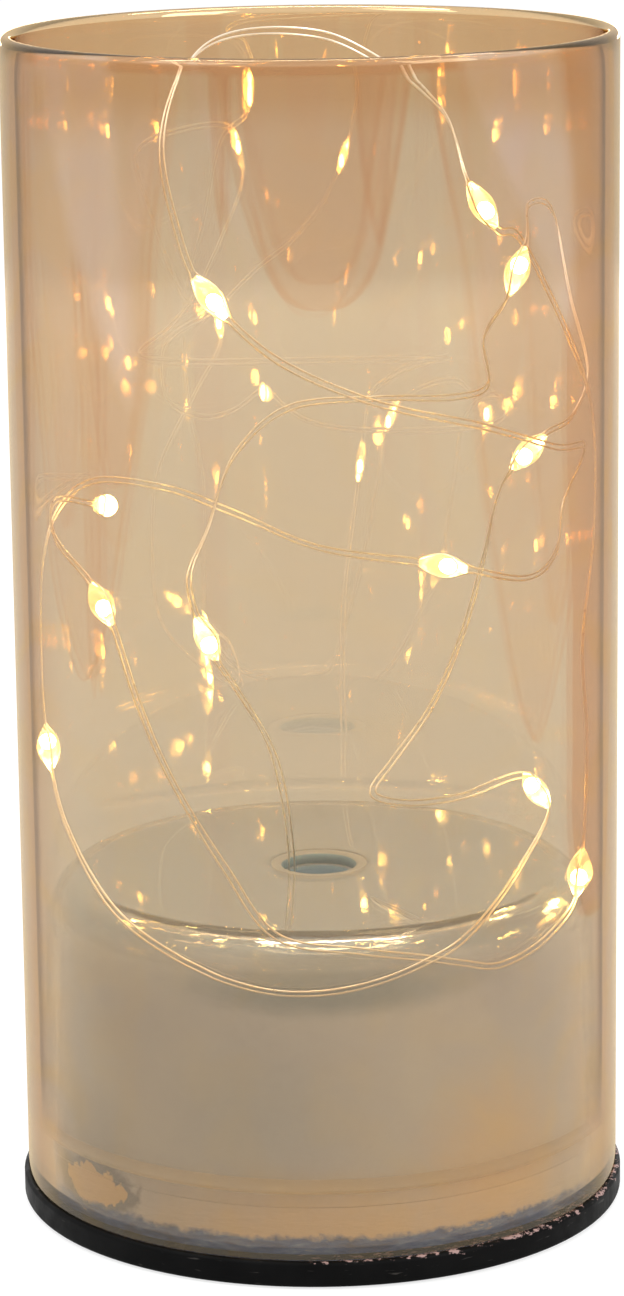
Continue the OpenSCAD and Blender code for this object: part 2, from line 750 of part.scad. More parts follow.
module wire_stretch_01() { wire_stretch(0); }
module wire_stretch_02() { wire_stretch(1); }
module wire_stretch_03() { wire_stretch(2); }
module wire_stretch_04() { wire_stretch(3); }
module wire_stretch_05() { wire_stretch(4); }
module wire_stretch_06() { wire_stretch(5); }
module wire_stretch_07() { wire_stretch(6); }
module wire_stretch_08() { wire_stretch(7); }
module wire_stretch_09() { wire_stretch(8); }
module wire_stretch_10() { wire_stretch(9); }
module wire_stretch_11() { wire_stretch(10); }

// Clear drop of resin round a chip, pointed towards both ends
module led_bead(k) {
    steps = 10;
    half = bead_l / 2;
    reach = acos(bead_flat_d / bead_d);
    outline = [for (i = [0:steps]) let (a = -reach + 2 * reach * i / steps)
        [bead_d / 2 * cos(a), half * sin(a) / sin(reach)]];
    color("khaki") translate(bead_centres[k]) point_along(bead_axis(k)) difference() {
        rotate_extrude($fn = 48) polygon(concat([[0, -half]], outline, [[0, half]]));
        cube([chip_w, chip_h, chip_l], center = true);
    }
}

module light_chips() {
    color("gold") for (k = [0:bead_count - 1])
        translate(bead_centres[k]) point_along(bead_axis(k))
            cube([chip_w, chip_h, chip_l], center = true);
}

module led_bead_01() { led_bead(0); }
module led_bead_02() { led_bead(1); }
module led_bead_03() { led_bead(2); }
module led_bead_04() { led_bead(3); }
module led_bead_05() { led_bead(4); }
module led_bead_06() { led_bead(5); }
module led_bead_07() { led_bead(6); }
module led_bead_08() { led_bead(7); }
module led_bead_09() { led_bead(8); }
module led_bead_10() { led_bead(9); }
module led_bead_11() { led_bead(10); }

glass_body();
dome_lining();
adhesive_ring();
base_plate();
battery_box();
box_screws();
battery_door();
battery_cell_1();
battery_cell_2();
battery_cell_3();
contact_positive_out();
contact_negative_out();
bridge_contact_a();
bridge_contact_b();
circuit_board();
timer_chip();
crystal();
resistors();
capacitor();
switch_housing();
switch_slider();
battery_lead_positive();
battery_lead_negative();
strain_relief();
light_chips();
wire_stretch_01();
wire_stretch_02();
wire_stretch_03();
wire_stretch_04();
wire_stretch_05();
wire_stretch_06();
wire_stretch_07();
wire_stretch_08();
wire_stretch_09();
wire_stretch_10();
wire_stretch_11();
led_bead_01();
led_bead_02();
led_bead_03();
led_bead_04();
led_bead_05();
led_bead_06();
led_bead_07();
led_bead_08();
led_bead_09();
led_bead_10();
led_bead_11();
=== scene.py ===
"""Glass LED light: amber lustre glass with a domed false bottom, black battery base and a string of
eleven wire-light beads. Metres, in the CAD frame: the origin is the centre of the face that it
stands on, +Z is the glass's axis and the front is towards -Y."""
import math

import bmesh
import bpy
from mathutils import Matrix, Vector, noise


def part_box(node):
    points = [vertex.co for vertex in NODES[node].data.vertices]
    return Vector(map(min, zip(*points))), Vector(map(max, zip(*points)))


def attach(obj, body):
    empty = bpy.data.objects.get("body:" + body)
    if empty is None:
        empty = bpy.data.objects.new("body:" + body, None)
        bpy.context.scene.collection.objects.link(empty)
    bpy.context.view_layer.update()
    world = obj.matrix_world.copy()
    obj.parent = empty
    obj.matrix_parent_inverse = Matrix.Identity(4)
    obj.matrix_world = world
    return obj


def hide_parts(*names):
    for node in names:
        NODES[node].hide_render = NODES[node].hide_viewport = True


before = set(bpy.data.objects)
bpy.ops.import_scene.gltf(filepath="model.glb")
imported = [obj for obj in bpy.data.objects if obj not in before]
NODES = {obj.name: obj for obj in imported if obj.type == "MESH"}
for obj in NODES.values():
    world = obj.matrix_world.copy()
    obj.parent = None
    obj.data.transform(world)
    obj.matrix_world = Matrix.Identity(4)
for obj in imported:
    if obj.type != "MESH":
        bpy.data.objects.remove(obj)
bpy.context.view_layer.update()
MM = 0.001
scene = bpy.context.scene
scene.view_settings.view_transform = "Standard"

# Enough bounces for the two walls and the dome; the clamp leaves the beads' mirror images bright
scene.cycles.max_bounces = 18
scene.cycles.transmission_bounces = 18
scene.cycles.glossy_bounces = 8
scene.cycles.transparent_max_bounces = 16
scene.cycles.sample_clamp_indirect = 30

# Glass sizes in millimetres: outer ones from the frame, inner ones as in the CAD
glass_low, glass_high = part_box("glass_body")
GLASS_R = glass_high[0] / MM
GLASS_TOP = glass_high[2] / MM
BASE_TOP = glass_low[2] / MM
WALL = 1.8
DOME_WALL = 1.6
GROOVE_W = 1.4
SHOULDER_R = 5.0
LINING_T = 0.4
DOME_TOP = 42.3
GROOVE_Z = 11.2
LINING_Z = 9.15
HOLE_R = 4.45
BORE_R = GLASS_R - WALL
FOOT_R = BORE_R - DOME_WALL
FLAT_R = BORE_R - GROOVE_W - SHOULDER_R
SHOULDER_Z = DOME_TOP - SHOULDER_R
LIP_R = DOME_WALL / 2
# Edge at the foot of the glass, and the gap that keeps glass and lining from sharing a face
FOOT_EDGE = 0.15
HAIR = 0.03

# Camera, fitted to the rim, dome and base ellipses: metres, degrees and millimetres of lens
CAMERA_PLACE = (0, -0.5286, 0.19305)
CAMERA_TILT = 13.11
CAMERA_YAW = -0.059
CAMERA_ROLL = 0.686
CAMERA_LENS = 120.86
CAMERA_SENSOR = 36

# Light string, in millimetres: strands, beads and chips
STRAND_R = 0.13
STRAND_PITCH = 0.66
STRAND_WANDER = 0.35
WANDER_STEP = 0.045
STRAND_SINK = 0.06
BEAD_L = 6.0
BEAD_R = 1.4
BEAD_END_W = 0.58
BEAD_END_T = 0.22
BEAD_BELLY = 1.8
BEAD_TAPER = 1.1
CHIP_R = 0.62
CHIP_HALF_L = 0.95
# How far a chip lies from its bead's centre: ahead of it in two beads of three
CHIP_AHEAD = 0.6
CHIP_BEHIND = -0.7
# The twin wire turns flat to the wall by this share a step, unless it is near the axis or runs
# straight away from it
TURN_SHARE = 0.12
TURN_FROM = 6

# Points of the string's route, as in the CAD
RELIEF_EXIT = (-7.5, 21.5, 10.8)
BEADS = [(-13, -20, 76), (23.5, -24, 120.5), (25.5, -13, 97), (27, -6, 53), (-33, -7, 59.5),
         (15, -24, 85.5), (-11.5, -32, 119), (19.5, -26, 128.5), (31.6, -11.8, 44),
         (-25, -22.5, 81), (-27, 15, 85.5)]
STRETCHES = [
    [(-3.5, 12, 26), (-3.5, 1.5, 37), (-3.5, -1, 44.5), (-5.5, -9, 59), (-9.5, -16, 68.5)],
    [(-15, -20, 83), (-13, -11, 87.5), (-9.5, 7, 94), (-2.5, 18, 97.5), (8, 20, 98),
     (18, 9, 100), (21.5, 0, 103), (20.5, -9, 110)],
    [(26.5, -2, 125.5), (31, 14, 122), (32.5, 8, 113), (34, 0, 104.5), (31.5, -5, 100)],
    [(22.5, 0, 88.5), (21.5, 12, 78.5), (19, 15, 68.5), (15, 15, 59), (10, 11, 53),
     (7, 8, 49.5), (10, 2, 49.5), (17.5, -5, 52)],
    [(24, -16, 45.5), (16.5, -30.5, 41), (12.8, -32.8, 39.4), (7, -34.4, 37.4),
     (1, -35.05, 36.3), (-5, -34.7, 36.2), (-10.5, -33.45, 37.2), (-14.9, -32, 38.8),
     (-24, -23.5, 43), (-30, -15, 51)],
    [(-34.5, -1, 70.5), (-34.5, 3, 81), (-33, 10, 86), (-28.5, 19, 88), (-20, 22, 86.5),
     (-10.5, 10, 85.5), (0.5, -8, 84.5)],
    [(24.5, -20, 83), (29.5, -6, 83.5), (31.5, 5, 87.5), (34, 4, 93.5), (28, -17.5, 98.5),
     (19, -28, 103), (6.5, -34, 107), (-4, -34.5, 112)],
    [(-15, -29, 125.5), (-17, -25, 135), (-15, -15, 143), (-8.5, 3, 146), (2, 10, 145),
     (10, 3, 141.5), (16, -15, 137.5)],
    [(24.5, -15, 123), (30, -12, 111.5), (34, -5, 99.5), (34, -6, 86.5), (32, -11, 73),
     (32.5, -11, 60)],
    [(28.6, -20, 40), (25.2, -24.5, 38.2), (20.7, -28.4, 37.3), (16.8, -30.4, 38.3),
     (12.7, -31.9, 39.4), (4.7, -33.9, 41),
     (-5, -32.5, 42.5), (-11, -30.5, 50.5), (-17.5, -28, 61.5), (-21, -26, 70)],
    [(-31, -11, 86.5), (-32.5, 4, 88.5)]]

# Tongues of denser lustre that hang from the rim: azimuth in degrees from the front towards +X,
# half width at the rim, height of the tip, roundness and strength
TONGUES = [(1.5, 18, 118, 0.33, 0.25), (1, 13.5, 121, 0.3, 0.13), (-15.5, 2.6, 126, 0.5, 0.3),
           (12, 4.5, 125, 0.5, 0.12), (-47, 23, 72, 0.5, 0.2), (-38, 11, 96, 0.4, 0.12),
           (-52, 8, 90, 0.4, 0.1), (-44, 4.5, 70, 0.35, 0.14), (45.5, 24, 64, 0.6, 0.18),
           (36, 9, 106, 0.35, 0.06), (50, 12, 78, 0.5, 0.12), (64, 12, 40, 0.2, 0.7),
           (-68, 5, 60, 0.3, 0.3), (179, 18, 106, 0.35, 0.12), (-134, 23, 78, 0.45, 0.1),
           (134, 22, 78, 0.45, 0.1), (88, 17, 96, 0.4, 0.2), (-86, 17, 98, 0.4, 0.2)]
TONGUE_EDGE = 0.016
TONGUE_OUTLINE = 1.3
# Lighter, rose-white drifts: painted highlights laid into the lustre's tint, in the same terms;
# they lean towards one side
HIGHLIGHT_DRIFTS = [(-50, 12, 104, 0.6, 1.0), (39, 14, 112, 0.6, 1.0), (-21.5, 2.2, 112, 0.2, 0.8),
          (128, 10, 100, 0.6, 0.6), (-150, 8, 100, 0.6, 0.6)]
HIGHLIGHT_EDGE = 0.06
HIGHLIGHT_LEAN = 0.28

# Painted golden light of the LEDs on the pearl paint: azimuth, half width, height, half height and
# strength
PAINTED_LED_GLOWS = [(0, 48, 4, 11, 0.75), (38, 24, 12, 15, 0.85), (70, 16, 20, 20, 0.4),
         (150, 40, 6, 8, 0.8), (-120, 30, 6, 8, 0.8)]


def keep(obj):
    """The object, linked to the scene."""
    scene.collection.objects.link(obj)
    return obj


def make_camera():
    """The camera that sees the light as the photograph does."""
    tilt, yaw, roll = (math.radians(angle) for angle in (CAMERA_TILT, CAMERA_YAW, CAMERA_ROLL))
    level = Vector((math.cos(yaw), -math.sin(yaw), 0))
    ahead = Vector((math.sin(yaw), math.cos(yaw), 0))
    z = Vector((0, 0, 1))
    forward = math.cos(tilt) * ahead - math.sin(tilt) * z
    over = math.sin(tilt) * ahead + math.cos(tilt) * z
    right = math.cos(roll) * level - math.sin(roll) * over
    up = math.sin(roll) * level + math.cos(roll) * over
    data = bpy.data.cameras.new("camera")
    data.lens = CAMERA_LENS
    data.sensor_width = CAMERA_SENSOR
    camera = keep(bpy.data.objects.new("camera", data))
    turn = Matrix((right, up, -forward)).transposed().to_4x4()
    camera.matrix_world = Matrix.Translation(CAMERA_PLACE) @ turn
    scene.camera = camera


make_camera()


# Shapes of the string
def bead_round(share, end):
    """Half width of a bead at a share of its half length, for the given half width at its ends."""
    return end + (BEAD_R - end) * (1 - min(abs(share), 1) ** BEAD_BELLY) ** BEAD_TAPER


def bead_axis(k):
    """Direction of a bead: from the point before it to the point after it."""
    before = Vector(STRETCHES[k][-1])
    after = Vector(STRETCHES[k + 1][0]) if k + 1 < len(BEADS) else Vector(BEADS[k])
    return (after - before).normalized()


def route():
    """Every point of the route in order, straight through each bead to the last one's middle."""
    points = [Vector(RELIEF_EXIT)]
    for k, centre in enumerate(BEADS):
        half = BEAD_L / 2 * bead_axis(k)
        points += [Vector(p) for p in STRETCHES[k]]
        points += [Vector(centre) - half, Vector(centre), Vector(centre) + half]
    points.pop()
    return points


def smooth(points, step=0.7, wall=35.2):
    """A Catmull-Rom curve through the points, with a sample about every step, kept off the wall."""
    ends = [2 * points[0] - points[1]] + points + [2 * points[-1] - points[-2]]
    out = []
    for a, b, c, d in zip(ends, ends[1:], ends[2:], ends[3:]):
        t1 = (b - a).length ** 0.5
        t2 = t1 + (c - b).length ** 0.5
        t3 = t2 + (d - c).length ** 0.5
        count = max(2, round((c - b).length / step))
        for i in range(count):
            t = t1 + (t2 - t1) * i / count
            ab = a + (b - a) * (t / t1)
            bc = b + (c - b) * ((t - t1) / (t2 - t1))
            cd = c + (d - c) * ((t - t2) / (t3 - t2))
            abc = ab + (bc - ab) * (t / t2)
            bcd = bc + (cd - bc) * ((t - t1) / (t3 - t1))
            out.append(abc + (bcd - abc) * ((t - t1) / (t2 - t1)))
    out.append(points[-1].copy())
    for p in out:
        r = math.hypot(p.x, p.y)
        if r > wall:
            p.x, p.y = p.x * wall / r, p.y * wall / r
    return out


def tangents(path):
    """Direction of the path at each of its points."""
    return [(path[min(i + 1, len(path) - 1)] - path[max(i - 1, 0)]).normalized()
            for i in range(len(path))]


def sides(path, along):
    """Sideways direction of the twin wire at each point, which slowly turns flat to the wall."""
    out = []
    side = along[0].orthogonal().normalized()
    for p, t in zip(path, along):
        side = (side - side.dot(t) * t).normalized()
        flat = Vector((p.x, p.y, 0)).cross(t)
        if flat.length > TURN_FROM:
            flat.normalize()
            pull = flat if flat.dot(side) >= 0 else -flat
            side = (side + TURN_SHARE * pull).normalized()
            side = (side - side.dot(t) * t).normalized()
        out.append(side)
    return out


# Mesh helpers
def skin(bm, rings):
    """Faces between each ring of vertices and the next; an end is one vertex or gets a cap."""
    count = max(len(ring) for ring in rings)
    for one, two in zip(rings, rings[1:]):
        for j in range(count):
            corners = [ring[place % len(ring)]
                       for ring, place in ((one, j), (one, j + 1), (two, j + 1), (two, j))]
            bm.faces.new(dict.fromkeys(corners))
    for end in (rings[0][::-1], rings[-1]):
        if len(end) > 1:
            bm.faces.new(end)


def tube(bm, path, along, radius, count=8):
    """A round tube along the path, in millimetres."""
    side = along[0].orthogonal().normalized()
    rings = []
    for p, t in zip(path, along):
        side = (side - side.dot(t) * t).normalized()
        other = t.cross(side)
        rings.append([bm.verts.new((p + radius * (math.cos(a) * side + math.sin(a) * other)) * MM)
                      for a in (2 * math.pi * j / count for j in range(count))])
    skin(bm, rings)


def finish_mesh(name, bm, sharp=None):
    """The mesh as an object: normals outwards, smooth, edges over `sharp` degrees kept crisp."""
    bmesh.ops.recalc_face_normals(bm, faces=bm.faces)
    for f in bm.faces:
        f.smooth = True
    if sharp is not None:
        for e in bm.edges:
            if e.is_manifold and e.calc_face_angle(0) > math.radians(sharp):
                e.smooth = False
    mesh = bpy.data.meshes.new(name)
    bm.to_mesh(mesh)
    bm.free()
    return keep(bpy.data.objects.new(name, mesh))


def lathe(name, profile, count, sharp=30):
    """A closed outline of (radius, height) in millimetres, turned round the axis."""
    bm = bmesh.new()
    rings = []
    for i in range(count):
        a = 2 * math.pi * i / count
        rings.append([bm.verts.new(Vector((r * math.cos(a), r * math.sin(a), z)) * MM)
                      for r, z in profile])
    n = len(profile)
    for i in range(count):
        one, two = rings[i], rings[(i + 1) % count]
        for j in range(n):
            bm.faces.new((one[j], two[j], two[(j + 1) % n], one[(j + 1) % n]))
    return finish_mesh(name, bm, sharp)


def arc(cx, cz, r, start, stop, steps=12):
    """Points on an arc round (cx, cz), from one angle in degrees to another."""
    return [(cx + r * math.cos(a), cz + r * math.sin(a))
            for a in (math.radians(start + (stop - start) * i / steps) for i in range(steps + 1))]


# Material helpers
class Paint:
    """Builds one node material; values that are the same all over go on the shader's sockets."""

    def __init__(self, name):
        self.material = bpy.data.materials.new(name)
        self.material.use_nodes = True
        self.tree = self.material.node_tree
        self.tree.nodes.clear()
        self.out = self.tree.nodes.new("ShaderNodeOutputMaterial")

    def node(self, kind, _props=None, **sockets):
        made = self.tree.nodes.new("ShaderNode" + kind)
        for key, value in (_props or {}).items():
            setattr(made, key, value)
        for key, value in sockets.items():
            self.put(made, key, value)
        return made

    def put(self, made, key, value):
        """Sets or links one socket: by name with _ for a space, or by place as i0, i1 and so on."""
        socket = made.inputs[int(key[1:]) if key[0] == "i" and key[1:].isdigit()
                             else key.replace("_", " ")]
        if isinstance(value, bpy.types.NodeSocket):
            self.tree.links.new(value, socket)
        else:
            if isinstance(value, tuple) and len(value) == 3 and socket.type == "RGBA":
                value = (*value, 1)
            socket.default_value = value

    def place(self):
        return self.node("TexCoord").outputs["Object"]

    def parts(self):
        """X, Y and Z of the place, in metres."""
        return self.node("SeparateXYZ", Vector=self.place()).outputs[:3]

    def scaled(self, x, y, z):
        return self.node("Mapping", Vector=self.place(), Scale=(x, y, z)).outputs[0]

    def noise(self, scale, detail=3.0, rough=0.55, vector=None):
        return self.node("TexNoise", Vector=vector or self.place(), Scale=scale, Detail=detail,
                         Roughness=rough).outputs["Fac"]

    def ramp(self, fac, *stops):
        """Colours or grey levels at the given places of a factor."""
        made = self.node("ValToRGB", Fac=fac)
        elements = made.color_ramp.elements
        while len(elements) < len(stops):
            elements.new(0.5)
        for element, (where, colour) in zip(elements, stops):
            element.position = where
            element.color = (*colour, 1) if isinstance(colour, tuple) else (colour,) * 3 + (1,)
        return made.outputs["Color"]

    def math(self, how, a, b=None, c=None):
        sockets = {"i0": a}
        if b is not None:
            sockets["i1"] = b
        if c is not None:
            sockets["i2"] = c
        return self.node("Math", {"operation": how}, **sockets).outputs[0]

    def span(self, value, low, high, start=0.0, stop=1.0, eased=False):
        """From `start` at `low` to `stop` at `high`, straight or eased, and level beyond them."""
        kind = {"interpolation_type": "SMOOTHSTEP" if eased else "LINEAR"}
        return self.node("MapRange", kind, Value=value, From_Min=low, From_Max=high,
                         To_Min=start, To_Max=stop).outputs[0]

    def blend(self, share, under, over, how="MIX"):
        """The colour `over` on top of `under`, at the given share."""
        return self.node("MixRGB", {"blend_type": how}, Fac=share, Color1=under,
                         Color2=over).outputs[0]

    def bump(self, height, strength=0.3, distance=0.0002):
        return self.node("Bump", Height=height, Strength=strength,
                         Distance=distance).outputs[0]

    def mix(self, fac, a, b):
        made = self.node("MixShader", i0=fac)
        self.tree.links.new(a, made.inputs[1])
        self.tree.links.new(b, made.inputs[2])
        return made.outputs[0]

    def done(self, surface):
        self.tree.links.new(surface, self.out.inputs["Surface"])
        return self.material


def srgb(r, g, b):
    """A colour given in display levels of 0 to 255."""
    return tuple(v / 12.92 if v <= 0.04045 else ((v + 0.055) / 1.055) ** 2.4
                 for v in (r / 255, g / 255, b / 255))


def azimuth_of(p, x, y):
    """Angle round the axis in radians, from the front towards +X."""
    return p.math("ARCTAN2", x, p.math("MULTIPLY", y, -1))


def hanging(p, around, height, shapes, edge, outline, lean=0.0):
    """Sum of tongue shapes: each is widest at the rim, closes at its tip and has a denser edge."""
    total = None
    for azimuth, half, tip, power, strength in shapes:
        off = p.math("WRAP", p.math("SUBTRACT", around, math.radians(azimuth)), math.pi, -math.pi)
        share = tip / GLASS_TOP
        drop = p.math("DIVIDE", p.math("SUBTRACT", height, share), 1 - share)
        if lean:
            off = p.math("ADD", off, p.math("MULTIPLY", p.math("SUBTRACT", drop, 1), lean))
        width = p.math("MULTIPLY", p.math("POWER", p.math("MAXIMUM", drop, 0), power),
                       math.radians(half))
        inside = p.math("SUBTRACT", width, p.math("ABSOLUTE", off))
        mask = p.span(inside, 0.0, edge, eased=True)
        brim = p.math("ABSOLUTE", p.math("SUBTRACT", inside, edge))
        mask = p.math("ADD", mask, p.span(brim, 0.0, edge, outline, 0.0))
        total = p.math("MULTIPLY_ADD", mask, strength, 0.0 if total is None else total)
    return total


def lustre(p, x, y, z):
    """The lustre's tint in what shines through it, and its colour where it mirrors."""
    # Millimetres: the dense band at the rim, and the back wall and its upper part
    rim_low, rim_full = GLASS_TOP - 2.2, GLASS_TOP - 1
    back_from, back_full = -8, 16
    upper_from, upper_full = 129, 138
    wave = p.noise(60, 1, 0.4, p.scaled(1, 1, 0.5))
    wave = p.math("MULTIPLY", p.math("SUBTRACT", wave, 0.5), 0.12)
    around = p.math("ADD", azimuth_of(p, x, y), wave)
    height = p.math("DIVIDE", z, GLASS_TOP * MM)
    cloud = p.math("MULTIPLY", p.noise(30, 2, 0.5, p.scaled(1, 1, 0.3)), 0.2)
    rim = p.span(z, rim_low * MM, rim_full * MM)
    tongues = hanging(p, around, height, TONGUES, TONGUE_EDGE, TONGUE_OUTLINE)
    dense = p.math("ADD", cloud, p.math("ADD", tongues, p.math("MULTIPLY", rim, 0.9)))
    tint = p.ramp(dense, (0.08, (0.892, 0.85, 0.775)), (0.2, (0.89, 0.838, 0.757)),
                  (0.45, (0.885, 0.785, 0.685)), (0.8, (0.86, 0.715, 0.59)))
    gold = p.ramp(dense, (0.1, (0.70, 0.56, 0.37)), (0.9, (0.70, 0.51, 0.30)))
    # Painted highlights: lighter, rose-white drifts in the tint
    painted_highlight = hanging(p, around, height, HIGHLIGHT_DRIFTS, HIGHLIGHT_EDGE, 0.0, HIGHLIGHT_LEAN)
    tint = p.blend(p.math("MULTIPLY", painted_highlight, 0.8), tint, (0.925, 0.865, 0.84))
    # The upper part of the back wall is a deeper gold
    rear = p.math("MULTIPLY", p.span(y, back_from * MM, back_full * MM, eased=True),
                  p.span(z, upper_from * MM, upper_full * MM, stop=0.9, eased=True))
    tint = p.blend(rear, tint, (0.82, 0.68, 0.50))
    gold = p.blend(rear, gold, (0.74, 0.53, 0.28))
    return tint, gold


def lustre_glass():
    """Lustred wall, clear dome and opaque lip of the one piece of glass, the lip with painted
    shade.
    """
    # Millimetres: how far the dome's part stays inside the bore and reaches over its top
    inset, over = 0.1, 0.4
    # Above the groove, where the dark line starts and is full
    line_from, line_full = 0.1, 9
    # Inside the shoulder's round, where ripples start, and beside its height, where it gleams
    ripple_in, dull_below, gleam_above = 2, 3, 1
    # Outside the hole's radius, where the lip's blue-grey painted shade gives way to paint
    grey_to, paint_from = 0.25, 0.35
    p = Paint("lustre_glass")
    x, y, z = p.parts()
    radius = p.math("SQRT", p.math("ADD", p.math("MULTIPLY", x, x), p.math("MULTIPLY", y, y)))
    tint, gold = lustre(p, x, y, z)
    # The dome, from the groove to a little over its top, is clear glass without lustre
    dome = p.math("MULTIPLY", p.math("LESS_THAN", radius, (BORE_R - inset) * MM),
                  p.math("COMPARE", z, (DOME_TOP + GROOVE_Z + over) / 2 * MM,
                         (DOME_TOP - GROOVE_Z + over) / 2 * MM))
    tint = p.blend(dome, tint, (0.985, 0.985, 0.98))
    gold = p.blend(dome, gold, (0.95, 0.93, 0.88))
    # The lustre lies on the inner face, which mirrors most towards the inside
    fresnel = p.node("LayerWeight", Blend=0.31).outputs["Fresnel"]
    behind = p.node("NewGeometry").outputs["Backfacing"]
    inner = p.math("LESS_THAN", radius, (BORE_R + WALL / 2) * MM)
    outer = p.math("SUBTRACT", 1, inner)
    # The outer face is darker where it turns away
    turning = p.math("MULTIPLY", outer, p.span(fresnel, 0.06, 0.22, stop=0.95))
    tint = p.blend(turning, tint, (0.78, 0.65, 0.53))
    # The inner face's turning edge shows as a dark line
    line = p.math("MULTIPLY", p.span(fresnel, 0.3, 0.5), p.math("LESS_THAN", fresnel, 0.97))
    wall = p.math("MULTIPLY", p.math("SUBTRACT", inner, dome),
                  p.span(z, (GROOVE_Z + line_from) * MM, (GROOVE_Z + line_full) * MM))
    line = p.math("MULTIPLY", line, p.math("MULTIPLY", wall, behind))
    tint = p.blend(line, tint, (0.42, 0.27, 0.18))
    gold = p.blend(line, gold, (0.22, 0.13, 0.08))
    glass = p.node("BsdfGlass", Color=tint, Roughness=0.0, IOR=1.45,
                   Normal=p.bump(p.noise(60, 1, 0.4), 0.08, 0.0003))
    shoulder = p.math("GREATER_THAN", radius, (FLAT_R - ripple_in) * MM)
    shoulder = p.math("MULTIPLY", dome, shoulder)
    ripple = p.bump(p.noise(330, 2, 0.5), p.math("MULTIPLY", shoulder, 0.5), 0.0003)
    sheen = p.node("BsdfGlossy", Color=gold, Roughness=0.01, Normal=ripple)
    inwards = p.math("MULTIPLY", inner, p.math("SUBTRACT", 1, behind))
    least = p.math("MULTIPLY_ADD", inwards, 0.3, 0.06)
    edge = p.span(fresnel, 0.1, 0.9, least, 0.95)
    # On the dome only the shoulder and the top plate gleam
    dull = p.span(z, (SHOULDER_Z - dull_below) * MM, (SHOULDER_Z + gleam_above) * MM, 0.92, 0.4)
    edge = p.math("MULTIPLY", edge, p.math("SUBTRACT", 1, p.math("MULTIPLY", dome, dull)))
    body = p.mix(edge, glass.outputs[0], sheen.outputs[0])
    # The lip of the hole is opaque: paint shows on top of it, and blue-grey inside it as painted
    # shade of the hole's depth
    side = p.span(radius, (HOLE_R + grey_to) * MM, (HOLE_R + paint_from) * MM)
    lip_paint_and_shade = p.blend(side, (0.10, 0.21, 0.30), (0.34, 0.33, 0.31))
    opaque_lip_shading = p.node("BsdfPrincipled", Base_Color=lip_paint_and_shade, Roughness=0.4)
    lip = p.math("MULTIPLY", dome, p.math("LESS_THAN", radius, (HOLE_R + 2 * LIP_R) * MM))
    body = p.mix(lip, body, opaque_lip_shading.outputs[0])
    # Light and shade pass through it straight, tinted by the lustre and not by the dome
    path = p.node("LightPath")
    thrown = p.blend(dome, (0.87, 0.805, 0.725), (1.0, 1.0, 1.0))
    clear = p.node("BsdfTransparent", Color=thrown)
    return p.done(p.mix(path.outputs["Is Shadow Ray"], body, clear.outputs[0]))


def pearl_colour(p):
    """Pearl paint, clouded, with painted shade in three greyer drifts, greyer on the top plate,
    painted golden light of the LEDs near the foot, and a gold patch in a grey rim.
    """
    # Millimetres: the height at which the top plate's colour starts and is full
    plate_from, plate_full = 37, 40
    x, y, z = p.parts()
    around = azimuth_of(p, x, y)
    painted_shade_front, shade, painted_shoulder_shade = srgb(184, 187, 198), srgb(152, 146, 152), srgb(112, 130, 144)
    cool_top, painted_glow_colour = srgb(116, 133, 145), srgb(238, 206, 160)
    rim_of_patch, patch_gold = srgb(112, 112, 120), srgb(240, 204, 146)

    def blot(azimuth, wide, level, tall, ragged=0.3):
        """Distance from a place on the dome's side: 1 at the given half width and half height."""
        a = p.math("DIVIDE", p.math("WRAP", p.math("SUBTRACT", around, math.radians(azimuth)),
                                    math.pi, -math.pi), math.radians(wide))
        b = p.math("DIVIDE", p.math("SUBTRACT", z, level * MM), tall * MM)
        far = p.math("SQRT", p.math("ADD", p.math("MULTIPLY", a, a), p.math("MULTIPLY", b, b)))
        uneven = p.math("SUBTRACT", p.noise(450, 4, 0.6), 0.5)
        return p.math("MULTIPLY_ADD", uneven, ragged, far)

    def lay(colour, far, start, stop, most, over):
        """`over` on top of the colour, from nothing at `start` to the given share at `stop`."""
        return p.blend(p.span(far, start, stop, stop=most, eased=True), colour, over)

    colour = p.ramp(p.noise(40, 4, 0.6), (0.3, srgb(196, 192, 202)), (0.55, srgb(208, 204, 208)),
                    (0.8, srgb(217, 212, 207)))
    # Painted shade: greyer drifts at the front, at the left and across the shoulder's front
    colour = lay(colour, blot(-12, 26, 21, 13), 1.0, 0.1, 0.58, painted_shade_front)
    colour = lay(colour, blot(-58, 24, 12, 12), 1.0, 0.2, 0.5, shade)
    colour = lay(colour, blot(2, 34, 35.8, 3.4), 1.2, 0.3, 0.75, painted_shoulder_shade)
    # The top plate is cooler than the side
    plate = p.span(z, plate_from * MM, plate_full * MM, stop=0.85, eased=True)
    colour = p.blend(plate, colour, cool_top)
    # Painted light: pools of the LEDs' golden light on the dome's side
    for azimuth, wide, level, tall, most in PAINTED_LED_GLOWS:
        colour = lay(colour, blot(azimuth, wide, level, tall), 1.1, 0.2, most, painted_glow_colour)
    patch = blot(-52, 9, 7.6, 2.6, 1.5)
    colour = lay(colour, patch, 1.6, 1.15, 0.8, rim_of_patch)
    colour = lay(colour, patch, 1.0, 0.9, 0.9, patch_gold)
    grain = p.ramp(p.noise(1500, 2), (0.3, 0.45), (0.7, 0.55))
    return p.blend(0.35, colour, grain, "OVERLAY")


